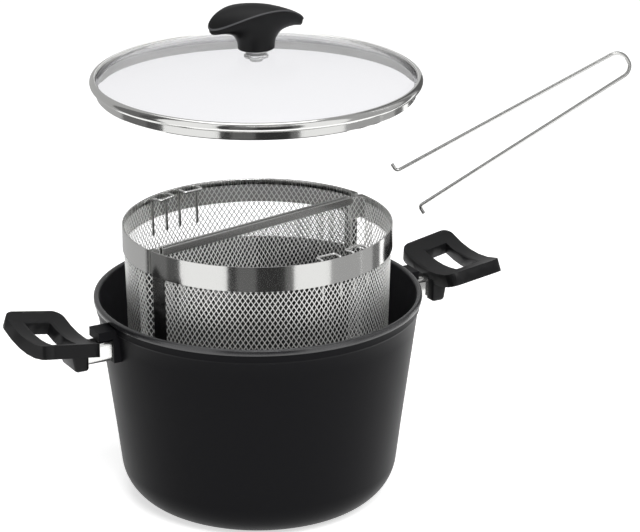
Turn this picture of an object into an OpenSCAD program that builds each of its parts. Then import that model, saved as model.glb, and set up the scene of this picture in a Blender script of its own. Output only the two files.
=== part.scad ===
// Pasta pot with two half-moon strainers, a glass lid and a wire lifter.
// All lengths are in millimetres. The origin is the centre of the pot's underside, +Z is up,
// and the two loop handles lie along the X axis. The pieces stand apart as in an exploded view:
// the strainers are drawn part way out of the pot, the lid is held above and the lifter beside them.

/* [Pot] */
// Height of the pot from underside to rim
pot_h = 164; // [150:1:185]
// Outside diameter of the wall just under the shoulder
pot_top_d = 244.6; // [230:0.2:260]
// Outside diameter where the wall meets the base corner
pot_base_d = 213; // [206:1:230]
// Outside radius of the base corner
pot_corner_r = 34; // [20:1:38]
// Thickness of the wall
pot_wall = 2.8; // [1.8:0.2:3.4]
// Thickness of the floor
pot_floor = 4.2; // [3.4:0.2:6]
// Height of the rim ring
rim_h = 5; // [3:0.5:7]
// How far the rim ring stands out from the wall
rim_out = 2.7; // [2.6:0.1:5]
// Height of the shoulder under the rim ring
shoulder_h = 6; // [4:0.5:9]
// How far the shoulder stands out from the wall
shoulder_out = 1.1; // [0.6:0.1:1.6]
// Height of the slope that leads from the wall to the shoulder
shoulder_lead = 1.5; // [1:0.1:2.5]
// Diameter of the steel disc let into the underside
disc_d = 130; // [100:1:134]
// Thickness of the steel disc
disc_t = 1.2; // [0.6:0.1:2]

/* [Handle fixing] */
// Distance of the handle fixings below the pot's mouth
fix_drop = 23; // [21:1:34]
// How far the cast boss stands out from the wall
boss_out = 5; // [4.5:0.5:8]
// Width of the cast boss
boss_w = 17; // [14:1:24]
// Height of the cast boss
boss_h = 19; // [18:1:22]
// How far the ledge over the sleeve reaches past the boss
ledge_reach = 12; // [6:0.5:14]
// Thickness of the ledge over the sleeve
ledge_t = 7; // [3:0.5:7]
// Length of the flame guard sleeve
guard_len = 22; // [19:1:30]
// Width of the flame guard sleeve
guard_w = 13; // [12:0.5:16]
// Height of the flame guard sleeve
guard_h = 18; // [15:0.5:18.5]
// Sheet thickness of the flame guard sleeve
guard_t = 0.8; // [0.5:0.1:1.2]
// Diameter of the handle screw's shank
screw_d = 5; // [4:0.5:6]
// Diameter of the handle screw's head
screw_head_d = 9; // [8:0.5:10]
// Height of the handle screw's head
screw_head_h = 3.2; // [2.4:0.2:4]
// How far the handle screw reaches into the boss
screw_bite = 4; // [3:0.5:4]

/* [Handles] */
// Width of the handle at its outer edge
handle_w_out = 80; // [66:1:90]
// Width of the handle at its inner edge
handle_w_in = 76; // [66:1:86]
// Length of the handle plate along its axis
handle_len = 46; // [44:1:54]
// Thickness of the handle plate
handle_t = 10; // [7:0.5:11]
// Upward slope of the handle plate in degrees
handle_tilt = 8; // [4:1:14]
// Radius of the hollow that the top of the plate follows
handle_hollow_r = 108; // [72:1:160]
// Corner radius of the handle plate
handle_corner_r = 8; // [6:1:14]
// Height of the plate's middle above the socket block's seat
plate_rise = 14; // [11:0.5:16]
// Width of the finger hole
hole_w = 50; // [36:1:54]
// Length of the finger hole along the handle's axis
hole_len = 20; // [14:0.5:21]
// Distance from the plate's inner edge to the finger hole
hole_in = 15; // [14:0.5:16]
// Width of the socket block under the plate
socket_w = 26; // [20:1:32]
// Depth of the socket block
socket_h = 20; // [19:1:24]
// Length of the socket block at its foot
socket_len = 11; // [9:0.5:14]

/* [Lid] */
// How far the lid's bead reaches past the pot's rim ring
lid_over = -1; // [-1.5:0.5:6]
// Height of the lid rim's outer bead
bead_h = 7; // [6:0.5:10]
// Depth of the skirt that drops into the pot
skirt_h = 6.5; // [5:0.5:11]
// Sheet thickness of the lid rim
lid_sheet = 0.8; // [0.5:0.1:1.2]
// Clearance between the skirt and the pot's mouth
skirt_gap = 0.8; // [0.4:0.1:1.5]
// Thickness of the glass
glass_t = 4; // [3:0.2:5]
// Rise of the glass dome from its edge to its crown
glass_rise = 21; // [16:0.5:32]
// How far the glass reaches past the skirt
glass_over = 1.2; // [-0.5:0.1:1.5]
// Width of the glass edge that the rim covers
glass_cover = 1; // [1:0.5:6]
// Height of the lid above its seat on the pot
lid_raise = 164; // [120:1:200]

/* [Knob] */
// Length of the knob's cap
knob_len = 73; // [60:1:80]
// Width of the knob's cap
knob_w = 30; // [24:1:36]
// Height of the knob above the glass
knob_h = 34; // [29:0.5:38]
// Thickness of the knob's cap
knob_t = 12; // [9:0.5:14]
// How far the cap's ends droop
knob_drop = 11; // [6:0.5:13]
// Length of the knob's foot
foot_len = 28; // [24:1:34]
// Width of the knob's foot
foot_w = 24; // [20:1:26]
// Turn of the knob from the line of the handles, in degrees
knob_turn = -10; // [-45:1:45]
// Diameter of the knob screw's shank
knob_screw_d = 5; // [4:0.5:6]
// Diameter of the steel washer under the glass
washer_d = 18; // [14:1:28]
// Thickness of the steel washer
washer_t = 1.2; // [0.8:0.1:2]
// Thickness of each soft seal on the glass
seal_t = 1; // [0.6:0.1:1.6]

/* [Strainers] */
// Outside diameter of the strainers' top band
strainer_d = 204.4; // [196:0.2:208]
// Height of the strainers
strainer_h = 136; // [110:1:137]
// Taper of the strainer wall in degrees
strainer_taper = 1.5; // [0.5:0.1:2]
// Gap between the two flat dividers
divider_gap = 2; // [1:0.2:4]
// Thickness of the mesh sheet
mesh_t = 0.7; // [0.5:0.1:1]
// Number of openings across each mesh panel
mesh_across = 12; // [8:1:12]
// Number of rows of openings up each mesh panel
mesh_rows = 4; // [3:1:6]
// Width of the bars between the openings
mesh_bar = 5; // [3:0.5:8]
// Thickness of the plain steel strips
strip_t = 0.6; // [0.4:0.1:0.9]
// Height of the polished top band
band_h = 19; // [14:1:24]
// Height of the folded strip along the divider's top
fold_h = 6; // [4:0.5:9]
// Radius of the strainers' corners
strainer_corner_r = 7; // [5:0.5:10]
// Width of the plain strip beside each corner
corner_strip_w = 8; // [5:0.5:12]
// Height of the plain strip around the bottom
foot_strip_h = 7; // [4:0.5:10]
// Turn of the dividers from the line of the handles, in degrees
divider_turn = 11; // [-30:1:45]
// Height of the strainers above their seat in the pot
strainer_raise = 66; // [30:1:100]

/* [Strainer loops] */
// Diameter of the loops' wire
loop_wire_d = 2.2; // [1.4:0.1:2.4]
// Width of each loop along the band
loop_w = 16; // [12:1:20]
// Reach of each loop from the band
loop_reach = 9; // [7:0.5:12]
// Length of the prongs that go down from each loop
prong_len = 30; // [20:1:40]
// Angle of each loop from the middle of its pair, in degrees
loop_angle = 8.5; // [7:0.5:24]
// Turn of each pair from the middle of the band, in degrees
loop_turn = 3; // [-8:0.5:8]

/* [Lifter] */
// Diameter of the lifter's wire
lifter_wire_d = 3; // [2.5:0.1:4]
// Length of the lifter from the bow to the bend of its tips
lifter_len = 204; // [160:1:240]
// Distance between the wires at the bow
bow_w = 20; // [14:1:26]
// Distance between the wires at the tips
tip_w = 35; // [26:1:44]
// Length of the bent tips
tip_len = 4; // [3:0.5:12]
// Radius of the bends, along the wire's middle
bend_r = 3; // [2.5:0.5:6]
// Distance from the pot's axis to the lifter's bow, across the view
lifter_x = 291; // [270:1:340]
// Distance of the lifter's plane behind the pot's axis
lifter_y = 150; // [135:1:180]
// Height of the lifter's bow above the ground
lifter_z = 303; // [250:1:340]
// Slope of the lifter in degrees
lifter_slope = 32; // [0:1:60]
// Turn of the lifter's plane from the line of the handles, in degrees
lifter_turn = -29; // [-60:1:60]

/* [Hidden] */
$fn = 96;

// Clearances between pieces that seat on each other
fit = 0.05;
seat_gap = 0.8;
edge_gap = 0.6;
ledge_in = 4;
disc_hole_d = 5;
slot_w = 1.2;
slot_depth = 1.2;

// Pot wall: a cone that runs into the base corner
fix_z = pot_h - fix_drop;
pot_rim_d = pot_top_d + 2 * rim_out;
rim_edge = 1;
rim_round = 1.5;
top_z = pot_h - rim_h - shoulder_h;
corner_x = pot_base_d / 2 - pot_corner_r;
wall_run = (pot_top_d - pot_base_d) / 2 / (top_z - pot_corner_r);
wall_slope = atan(wall_run);
function wall_out(z) = pot_base_d / 2 + (z - pot_corner_r) * wall_run;
function wall_in(z) = wall_out(z) - pot_wall / cos(wall_slope);
shoulder_r = wall_out(top_z) + shoulder_out;
inner_corner_r = pot_corner_r - pot_wall;
mouth_r = wall_in(pot_h);

// Seat of the strainers: the foot's outer edge stands on the inside of the base corner
strainer_r = strainer_d / 2;
foot_r = strainer_r - strainer_h * tan(strainer_taper);
seat_lift = sqrt(max(0, pow(inner_corner_r, 2) - pow(foot_r - corner_x, 2)));
seat_z = max(pot_floor, pot_corner_r - seat_lift) + seat_gap;
strainer_z = seat_z + strainer_raise;
band_z = strainer_h - band_h;
mesh_r = strainer_r - strip_t - fit;
loop_r = sqrt(pow(mesh_r - mesh_t - fit, 2) - pow((loop_w + loop_wire_d) / 2, 2)) - loop_wire_d / 2;

// Lid: z = 0 at the underside of its bead
lid_z = pot_h + lid_raise + fit;
lid_r = pot_rim_d / 2 + lid_over;
skirt_r = wall_in(pot_h - skirt_h) - skirt_gap;
glass_r = skirt_r + glass_over;
glass_z = lid_sheet + 0.2;
dome_r = (pow(glass_r, 2) + pow(glass_rise, 2)) / (2 * glass_rise);
crown_z = glass_z + glass_t + glass_rise;
cover_r = glass_r - glass_cover;

// Handle: placed from the outer end of the flame guard
boss_reach = wall_out(fix_z) + boss_out;
socket_x = boss_reach + guard_len + fit;
plate_z = fix_z + plate_rise;
socket_top = plate_z - handle_t / 2;
screw_seat_x = socket_x + socket_len / 2;

// Rounded rectangle from plain squares and circles
module rounded(w, h, r) {
  square([w - 2 * r, h], center = true);
  square([w, h - 2 * r], center = true);
  for (x = [-1, 1])
    for (y = [-1, 1])
      translate([x * (w / 2 - r), y * (h / 2 - r)])
        circle(r = r);
}

// Solid inside the outer surface of the pot's wall and shoulder, used to fit pieces to it
module wall_form(extra) {
  lead_z = top_z - shoulder_lead;
  cylinder(h = top_z, r1 = wall_out(0) + extra, r2 = wall_out(top_z) + extra);
  translate([0, 0, lead_z])
    cylinder(h = shoulder_lead, r1 = wall_out(lead_z) + extra, r2 = shoulder_r + extra);
  translate([0, 0, top_z])
    cylinder(h = shoulder_h, r = shoulder_r + extra);
}

// Pot

module pot_section() {
  difference() {
    union() {
      polygon([
        [0, 0],
        [corner_x, 0],
        [corner_x, pot_corner_r],
        [corner_x + pot_corner_r * cos(wall_slope), pot_corner_r - pot_corner_r * sin(wall_slope)],
        [wall_out(top_z - shoulder_lead), top_z - shoulder_lead],
        [shoulder_r, top_z],
        [shoulder_r, pot_h - rim_h],
        [pot_rim_d / 2 - rim_edge, pot_h - rim_h],
        [pot_rim_d / 2, pot_h - rim_h + rim_edge],
        [pot_rim_d / 2, pot_h - rim_round],
        [pot_rim_d / 2 - rim_round, pot_h],
        [0, pot_h]
      ]);
      intersection() {
        translate([corner_x, pot_corner_r])
          circle(r = pot_corner_r);
        square([pot_rim_d, pot_corner_r]);
      }
    }
    union() {
      polygon([
        [-1, pot_corner_r],
        [corner_x + inner_corner_r * cos(wall_slope), pot_corner_r - inner_corner_r * sin(wall_slope)],
        [wall_in(pot_h - 1), pot_h - 1],
        [wall_in(pot_h) + 1, pot_h + 0.01],
        [wall_in(pot_h) + 1, pot_h + 1],
        [-1, pot_h + 1]
      ]);
      intersection() {
        translate([corner_x, pot_corner_r])
          circle(r = inner_corner_r);
        translate([corner_x - 1, pot_floor])
          square([pot_corner_r + 1, pot_corner_r]);
      }
      translate([-1, pot_floor])
        square([corner_x + 1, pot_corner_r - pot_floor + 1]);
    }
    translate([-1, -1])
      square([disc_d / 2 + 1 + fit, 1 + disc_t]);
  }
}

module pot_body() {
  color([0.09, 0.09, 0.1])
    rotate_extrude()
      intersection() {
        pot_section();
        square([pot_rim_d, pot_h]);
      }
}

module induction_disc() {
  color([0.7, 0.7, 0.71])
    difference() {
      cylinder(h = disc_t, d = disc_d);
      for (ring = [1 : 3])
        for (i = [0 : 6 * ring - 1])
          rotate([0, 0, i * 60 / ring])
            translate([ring * disc_d / 8, 0, -1])
              cylinder(h = disc_t + 2, d = disc_hole_d, $fn = 24);
    }
}

// Cross-shaped slot sunk into a screw head whose face is at z = 0
module cross_slot(span) {
  for (turn = [0, 90])
    rotate([0, 0, turn])
      translate([-span / 2, -slot_w / 2, -1])
        cube([span, slot_w, slot_depth + 1]);
}

// Handle fixing, drawn on the +X side

module boss() {
  color([0.09, 0.09, 0.1])
    difference() {
      union() {
        translate([corner_x, -boss_w / 2, fix_z - boss_h / 2])
          cube([boss_reach - corner_x, boss_w, boss_h]);
        translate([corner_x, -boss_w / 2, fix_z + boss_h / 2])
          cube([boss_reach + ledge_reach - corner_x, boss_w, ledge_t]);
      }
      wall_form(fit);
      translate([corner_x, 0, fix_z])
        rotate([0, 90, 0])
          cylinder(h = boss_reach, d = screw_d + 2 * fit);
    }
}

module flame_guard() {
  color([0.82, 0.82, 0.83])
    translate([boss_reach + fit / 2, 0, fix_z])
      rotate([90, 0, 90])
        linear_extrude(guard_len)
          difference() {
            rounded(guard_w, guard_h, guard_w / 3);
            rounded(guard_w - 2 * guard_t, guard_h - 2 * guard_t, guard_w / 3 - guard_t);
          }
}

// Plan of the handle plate and its finger hole
module plate_plan() {
  r = handle_corner_r;
  hull()
    for (side = [-1, 1]) {
      translate([socket_x + r, side * (handle_w_in / 2 - r)])
        circle(r = r, $fn = 32);
      translate([socket_x + handle_len - r, side * (handle_w_out / 2 - r)])
        circle(r = r, $fn = 32);
    }
}
module hole_plan() {
  translate([socket_x + hole_in + hole_len / 2, 0])
    rounded(hole_len, hole_w, 4);
}

// Slab between two hollow surfaces whose axis climbs outward with the plate
module hollow_slab() {
  translate([socket_x, 0, plate_z])
    rotate([0, 90 - handle_tilt, 0])
      translate([-handle_hollow_r, 0, -handle_len])
        difference() {
          cylinder(h = 3 * handle_len, r = handle_hollow_r + handle_t, $fn = 180);
          translate([0, 0, -1])
            cylinder(h = 3 * handle_len + 2, r = handle_hollow_r, $fn = 180);
        }
}

module socket_profile() {
  polygon([
    [socket_x, fix_z - socket_h / 2],
    [socket_x + socket_len, fix_z - socket_h / 2],
    [socket_x + hole_in - 0.5, socket_top],
    [socket_x, socket_top]
  ]);
}

module handle() {
  color([0.12, 0.12, 0.13])
    difference() {
      union() {
        intersection() {
          translate([0, 0, fix_z - 20])
            linear_extrude(70)
              difference() {
                plate_plan();
                hole_plan();
              }
          hollow_slab();
        }
        rotate([90, 0, 0])
          translate([0, 0, -socket_w / 2])
            linear_extrude(socket_w)
              socket_profile();
      }
      translate([socket_x - 1, 0, fix_z])
        rotate([0, 90, 0])
          cylinder(h = socket_len + 10, d = screw_d + 0.4);
      translate([screw_seat_x, 0, fix_z])
        rotate([0, 90, 0])
          cylinder(h = 16, d = screw_head_d + 0.6);
    }
}

module handle_screw() {
  color([0.75, 0.75, 0.76])
    difference() {
      union() {
        translate([boss_reach - screw_bite, 0, fix_z])
          rotate([0, 90, 0])
            cylinder(h = screw_seat_x - boss_reach + screw_bite + 1, d = screw_d);
        translate([screw_seat_x + fit, 0, fix_z])
          rotate([0, 90, 0])
            cylinder(h = screw_head_h, d = screw_head_d);
      }
      translate([screw_seat_x + screw_head_h + fit, 0, fix_z])
        rotate([0, -90, 0])
          cross_slot(0.65 * screw_head_d);
    }
}

// Mirror image for the -X side
module left_side() {
  rotate([0, 0, 180])
    children();
}

// Lid, drawn with its bead's underside at z = 0

module glass_shell() {
  translate([0, 0, glass_z + glass_rise - dome_r])
    difference() {
      sphere(r = dome_r + glass_t, $fn = 180);
      sphere(r = dome_r, $fn = 180);
    }
}

module lid_glass() {
  color([0.8, 0.88, 0.88, 0.5])
    translate([0, 0, lid_z])
      difference() {
        intersection() {
          glass_shell();
          translate([0, 0, glass_z])
            cylinder(h = glass_rise + 2 * glass_t, r = glass_r);
        }
        cylinder(h = 2 * crown_z, d = knob_screw_d + 3);
      }
}

// Height of the glass's upper face at a given radius
function glass_top(r) = glass_z + glass_rise - dome_r + sqrt(pow(dome_r + glass_t, 2) - pow(r, 2));

// Section of the rim: bead outside, lip over the glass, fold under it and skirt into the pot
module lid_rim_section() {
  bulge = bead_h / 2;
  lip_z = glass_top(cover_r) + fit;
  wall_x = glass_r + fit;
  bead = [for (a = [90 : -15 : -90]) [lid_r - bulge + bulge * cos(a), bulge + bulge * sin(a)]];
  polygon(concat([[cover_r, lip_z], [cover_r, lip_z + lid_sheet]], bead, [
    [skirt_r, 0],
    [skirt_r, lid_sheet - skirt_h],
    [skirt_r - lid_sheet, -skirt_h],
    [skirt_r - lid_sheet, 0],
    [glass_r - ledge_in, 0],
    [glass_r - ledge_in, lid_sheet],
    [wall_x, lid_sheet],
    [wall_x, glass_top(glass_r) + fit]
  ]));
}

module lid_rim() {
  color([0.83, 0.83, 0.84])
    translate([0, 0, lid_z])
      rotate_extrude($fn = 120)
        lid_rim_section();
}

// Knob: a foot, a waist and an arched cap
knob_z = crown_z + seal_t + 2 * fit;
arch_r = pow(knob_len / 2, 2) / (2 * knob_drop) + knob_drop / 2;

// Flat oval slice of the knob's waist
module slice(z, l, w) {
  translate([0, 0, z])
    linear_extrude(0.4)
      rounded(l, w, w / 2 - 1);
}

// Cap: a rounded bar bent along an arc, trimmed to a long oval
module knob_cap() {
  intersection() {
    translate([0, 0, knob_h - arch_r])
      rotate([90, 0, 0])
        rotate_extrude($fn = 180)
          translate([arch_r - knob_t / 2, 0])
            rounded(knob_t, knob_w, knob_t / 2 - 0.5);
    translate([0, 0, knob_h - 2 * knob_drop - knob_t])
      linear_extrude(2 * knob_drop + knob_t + 1)
        rounded(knob_len, knob_w, knob_w / 2 - 1);
  }
}

module lid_knob() {
  color([0.11, 0.11, 0.12])
    translate([0, 0, lid_z + knob_z])
      rotate([0, 0, knob_turn])
        difference() {
          union() {
            hull() {
              slice(0, foot_len, foot_w, $fn = 48);
              slice(9, foot_len - 3, foot_w - 6, $fn = 48);
            }
            hull() {
              slice(9, foot_len - 3, foot_w - 6, $fn = 48);
              slice(knob_h - knob_t - 1, foot_len + 13, knob_w - 6, $fn = 48);
            }
            knob_cap();
          }
          translate([0, 0, -1])
            cylinder(h = 13, d = knob_screw_d + 0.1);
        }
}

seal_below_d = washer_d - 3;
seal_drop = pow(seal_below_d / 2, 2) / (2 * dome_r);
under_z = crown_z - glass_t - seal_drop - seal_t - washer_t - 3 * fit;
knob_screw_head_h = 2.6;
module knob_screw() {
  color([0.75, 0.75, 0.76])
    translate([0, 0, lid_z])
      difference() {
        union() {
          translate([0, 0, under_z - fit])
            cylinder(h = knob_z - under_z + 11, d = knob_screw_d);
          translate([0, 0, under_z - fit - knob_screw_head_h])
            cylinder(h = knob_screw_head_h, d = 1.9 * knob_screw_d);
        }
        translate([0, 0, under_z - fit - knob_screw_head_h])
          cross_slot(1.2 * knob_screw_d);
      }
}

module ring(z, t, d) {
  translate([0, 0, lid_z + z])
    difference() {
      cylinder(h = t, d = d);
      translate([0, 0, -1])
        cylinder(h = t + 2, d = knob_screw_d + 0.4);
    }
}
module knob_washer() {
  color([0.78, 0.78, 0.79])
    ring(under_z, washer_t, washer_d);
}
module seal_above() {
  color([0.16, 0.16, 0.16])
    ring(crown_z + fit, seal_t, foot_w - 3);
}
module seal_below() {
  color([0.16, 0.16, 0.16])
    ring(under_z + washer_t + fit, seal_t, seal_below_d);
}

// Strainers, drawn with their foot at z = 0 and the divider along X; this is the -Y half

divider_y = -divider_gap / 2;
function corner_mid(r) = sqrt(pow(r - strainer_corner_r, 2) - pow(strainer_corner_r - divider_y, 2));

// D-shaped outline: radius r, flat side at y = divider_y - inset, corner radius c
module d_outline(inset) {
  r = strainer_r - inset;
  c = strainer_corner_r - inset;
  x = corner_mid(strainer_r);
  y = divider_y - strainer_corner_r;
  intersection() {
    circle(r = r, $fn = 180);
    polygon([[x, y], [1.5 * x, 1.5 * y], [2 * r, -2 * r], [-2 * r, -2 * r], [-1.5 * x, 1.5 * y], [-x, y]]);
  }
  polygon([[-x, y], [x, y], [x, y + c], [-x, y + c]]);
  for (side = [-1, 1])
    translate([side * x, y])
      circle(r = c);
}
module d_strip(inset, t) {
  difference() {
    d_outline(inset);
    d_outline(inset + t);
  }
}

// The curved part of a D, short of its corners
module curved_side() {
  x = corner_mid(strainer_r);
  y = divider_y - strainer_corner_r;
  k = 1.5;
  polygon([
    [0, 0.3 * y], [x, y], [k * x, k * y], [2 * x, -3 * x],
    [-2 * x, -3 * x], [-k * x, k * y], [-x, y],
  ]);
}

// Cone shell that the tapered wall follows
function cone_r(z) = foot_r + z * tan(strainer_taper);
module tapered_shell(z0, z1, inset, t) {
  translate([0, 0, z0])
    difference() {
      cylinder(h = z1 - z0, r1 = cone_r(z0) - inset, r2 = cone_r(z1) - inset, $fn = 180);
      translate([0, 0, -1])
        cylinder(
          h = z1 - z0 + 2,
          r1 = cone_r(z0 - 1) - inset - t,
          r2 = cone_r(z1 + 1) - inset - t,
          $fn = 180
        );
    }
}
module wall_zone(z0, z1) {
  translate([0, 0, z0 - 1])
    linear_extrude(z1 - z0 + 2)
      curved_side();
}

// Plain grid of openings that stands for the woven mesh: columns around the wall, rows up it
corner_a = atan2(strainer_corner_r - divider_y, corner_mid(foot_r)) + corner_strip_w / foot_r * 180 / PI;
column_a = (180 - 2 * corner_a) / mesh_across;
row_h = (band_z - foot_strip_h) / mesh_rows;
module wall_openings() {
  w = foot_r * column_a * PI / 180 - mesh_bar;
  for (i = [0 : mesh_across - 1], k = [0 : mesh_rows - 1])
    rotate([0, 0, -corner_a - (i + 0.5) * column_a])
      translate([foot_r / 2, -w / 2, foot_strip_h + mesh_bar / 2 + k * row_h])
        cube([foot_r, w, row_h - mesh_bar]);
}

module wall_mesh() {
  color([0.62, 0.62, 0.63])
    difference() {
      intersection() {
        tapered_shell(mesh_t + fit, strainer_h - edge_gap, strip_t + fit, mesh_t);
        wall_zone(0, strainer_h);
      }
      wall_openings();
    }
}

module divider_mesh() {
  x = corner_mid(foot_r) - fit;
  column = 2 * (x - corner_strip_w) / mesh_across;
  color([0.58, 0.58, 0.59])
    translate([-x, divider_y - strip_t - fit - mesh_t, 0])
      difference() {
        translate([0, 0, mesh_t + fit])
          cube([2 * x, mesh_t, strainer_h - mesh_t - edge_gap]);
        for (i = [0 : mesh_across - 1], k = [0 : mesh_rows - 1])
          translate([corner_strip_w + i * column + mesh_bar / 2, -1, foot_strip_h + mesh_bar / 2 + k * row_h])
            cube([column - mesh_bar, mesh_t + 2, row_h - mesh_bar]);
      }
}

module floor_plan() {
  x = corner_mid(foot_r) - fit;
  y = divider_y - strip_t - 2 * fit;
  low = divider_y - strainer_corner_r;
  polygon([
    [-x, y], [-x, low], [-2 * x, 2 * low], [-2 * x, -2 * x],
    [2 * x, -2 * x], [2 * x, 2 * low], [x, low], [x, y]
  ]);
}
// Square openings that lie whole within the floor's round edge
module floor_openings() {
  r = foot_r - strip_t - mesh_bar;
  pitch = 2 * r / mesh_across;
  side = pitch - mesh_bar;
  top = divider_y - strip_t - mesh_bar;
  for (i = [0 : mesh_across - 1], k = [0 : mesh_across])
    let (x = (i + 0.5) * pitch - r, y = top - pitch / 2 - k * pitch)
      if (norm([abs(x) + side / 2, abs(y) + side / 2]) < r)
        translate([x - side / 2, y - side / 2])
          square(side);
}
module floor_mesh() {
  color([0.55, 0.55, 0.56])
    intersection() {
      cylinder(h = mesh_t, r = foot_r - strip_t - 2 * fit, $fn = 180);
      translate([0, 0, -1])
        linear_extrude(mesh_t + 2)
          difference() {
            floor_plan();
            floor_openings();
          }
    }
}

// Polished band around the curved side and both corners
module top_band() {
  x = corner_mid(strainer_r);
  color([0.86, 0.86, 0.87])
    translate([0, 0, band_z])
      linear_extrude(band_h)
        difference() {
          d_strip(0, strip_t);
          translate([-x + fit, divider_y - 2 * strip_t])
            square([2 * x - 2 * fit, 4 * strip_t]);
        }
}

// Folded strip over the divider's top edge
module divider_fold() {
  x = corner_mid(foot_r) - fit;
  y = divider_y;
  color([0.8, 0.8, 0.81])
    translate([0, 0, strainer_h - fold_h])
      difference() {
        translate([-x, y - 2 * strip_t - 2 * fit - mesh_t, 0])
          cube([2 * x, 2 * strip_t + 2 * fit + mesh_t, fold_h]);
        translate([-x - 1, y - strip_t - 2 * fit - mesh_t, -1])
          cube([2 * x + 2, mesh_t + 2 * fit, fold_h + 1 - 0.5]);
      }
}

// Plain strip around the bottom of the curved side
module foot_strip() {
  x = corner_mid(foot_r);
  y = divider_y - strainer_corner_r;
  color([0.78, 0.78, 0.79])
    difference() {
      intersection() {
        tapered_shell(0, foot_strip_h, 0, strip_t);
        wall_zone(0, foot_strip_h);
      }
      for (side = [0, 1])
        mirror([side, 0, 0])
          translate([x, y, -1])
            rotate([0, 0, atan2(y, x)])
              translate([0, -corner_strip_w - fit, 0])
                cube([2 * strainer_corner_r, 2 * corner_strip_w, foot_strip_h + 2]);
    }
}

// Plain strip that wraps one corner below the band and leans with the wall
module corner_strip(side) {
  y = divider_y - strainer_corner_r;
  c = strainer_corner_r;
  h = band_z - fit;
  lean = atan((corner_mid(strainer_r) - corner_mid(foot_r)) / strainer_h);
  a = atan2(y, corner_mid(strainer_r));
  color([0.74, 0.74, 0.75])
    mirror([side > 0 ? 0 : 1, 0, 0])
      intersection() {
        translate([corner_mid(foot_r), y, -1])
          rotate([0, lean, 0])
            linear_extrude(h + 4) {
              difference() {
                circle(r = c);
                circle(r = c - strip_t);
                translate([-2 * c, -2 * c])
                  square([2 * c, 4 * c]);
                rotate([0, 0, a - 180])
                  translate([-2 * c, 0])
                    square([4 * c, 2 * c]);
              }
              translate([-2, c - strip_t])
                square([2, strip_t]);
              rotate([0, 0, a])
                translate([c - strip_t, -corner_strip_w])
                  square([strip_t, corner_strip_w]);
            }
        translate([0, -strainer_r, 0])
          cube([2 * strainer_r, 2 * strainer_r, h]);
      }
}

// Wire loop that lies level inside the band, with two prongs down its inner side
module wire(a, b, d) {
  v = b - a;
  translate(a)
    rotate([0, acos(v[2] / norm(v)), atan2(v[1], v[0])])
      cylinder(h = norm(v), d = d, $fn = 24);
}
module loop(angle) {
  w = loop_w / 2;
  d = loop_wire_d;
  color([0.8, 0.8, 0.81])
    rotate([0, 0, angle - 90])
      translate([loop_r, 0, strainer_h - d / 2]) {
        for (side = [-1, 1]) {
          wire([0, side * w, 0], [-loop_reach, side * w, 0], d);
          wire([0, side * w, 0], [-prong_len * tan(strainer_taper), side * w, -prong_len], d);
          for (x = [0, -loop_reach])
            translate([x, side * w, 0])
              sphere(d = d, $fn = 24);
        }
        wire([-loop_reach, -w, 0], [-loop_reach, w, 0], d);
      }
}

module front_side() {
  translate([0, 0, strainer_z])
    rotate([0, 0, divider_turn])
      children();
}
module back_side() {
  translate([0, 0, strainer_z])
    rotate([0, 0, divider_turn + 180])
      children();
}

// Lifter: a hairpin of wire whose tips turn outward, drawn flat in its own plane
// Points along an arc in the lifter's plane
bend_steps = 8;
function arc(c, from, to) = [
  for (i = [0 : bend_steps])
    let (a = from + (to - from) * i / bend_steps)
      [c[0] + bend_r * cos(a), c[1] + bend_r * sin(a)]
];

// One leg, from the end of its bent tip to the middle of the bow
function leg_path() =
  let (
    run = lifter_len - 2 * bend_r,
    spread = atan((tip_w - bow_w) / 2 / run),
    along = [cos(spread), sin(spread)],
    out = [-sin(spread), cos(spread)],
    bow = [bend_r, bow_w / 2 - bend_r],
    tip = bow + bend_r * out + run * along + bend_r * out
  )
    concat(
      [tip + bend_r * along + tip_len * out],
      arc(tip, spread, spread - 90),
      arc(bow, 90 + spread, 180)
    );
function mirrored(path) = [for (i = [len(path) - 1 : -1 : 0]) [path[i][0], -path[i][1]]];

// Round wire along a flat path
wire_sides = 12;
function unit(v) = v / norm(v);
module flat_wire(path, d) {
  n = len(path);
  points = [
    for (i = [0 : n - 1])
      let (t = unit(path[min(i + 1, n - 1)] - path[max(i - 1, 0)]))
        for (k = [0 : wire_sides - 1])
          let (a = 360 * k / wire_sides)
            [path[i][0] - t[1] * cos(a) * d / 2, path[i][1] + t[0] * cos(a) * d / 2, sin(a) * d / 2]
  ];
  sides = [
    for (i = [0 : n - 2])
      for (k = [0 : wire_sides - 1])
        let (a = i * wire_sides + k, b = i * wire_sides + (k + 1) % wire_sides)
          each [[a, b, b + wire_sides], [a, b + wire_sides, a + wire_sides]]
  ];
  ends = [
    [for (k = [wire_sides - 1 : -1 : 0]) k],
    [for (k = [0 : wire_sides - 1]) (n - 1) * wire_sides + k]
  ];
  polyhedron(points, concat(sides, ends));
}
module lifter() {
  color([0.6, 0.6, 0.61])
    rotate([0, 0, lifter_turn])
      translate([lifter_x, lifter_y, lifter_z])
        rotate([0, -lifter_slope, 0])
          rotate([90, 0, 180])
            flat_wire(concat(leg_path(), mirrored(leg_path())), lifter_wire_d);
}

// Named pieces

module left_boss() { left_side() boss(); }
module left_flame_guard() { left_side() flame_guard(); }
module left_handle() { left_side() handle(); }
module left_handle_screw() { left_side() handle_screw(); }
module right_boss() { boss(); }
module right_flame_guard() { flame_guard(); }
module right_handle() { handle(); }
module right_handle_screw() { handle_screw(); }

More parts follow.
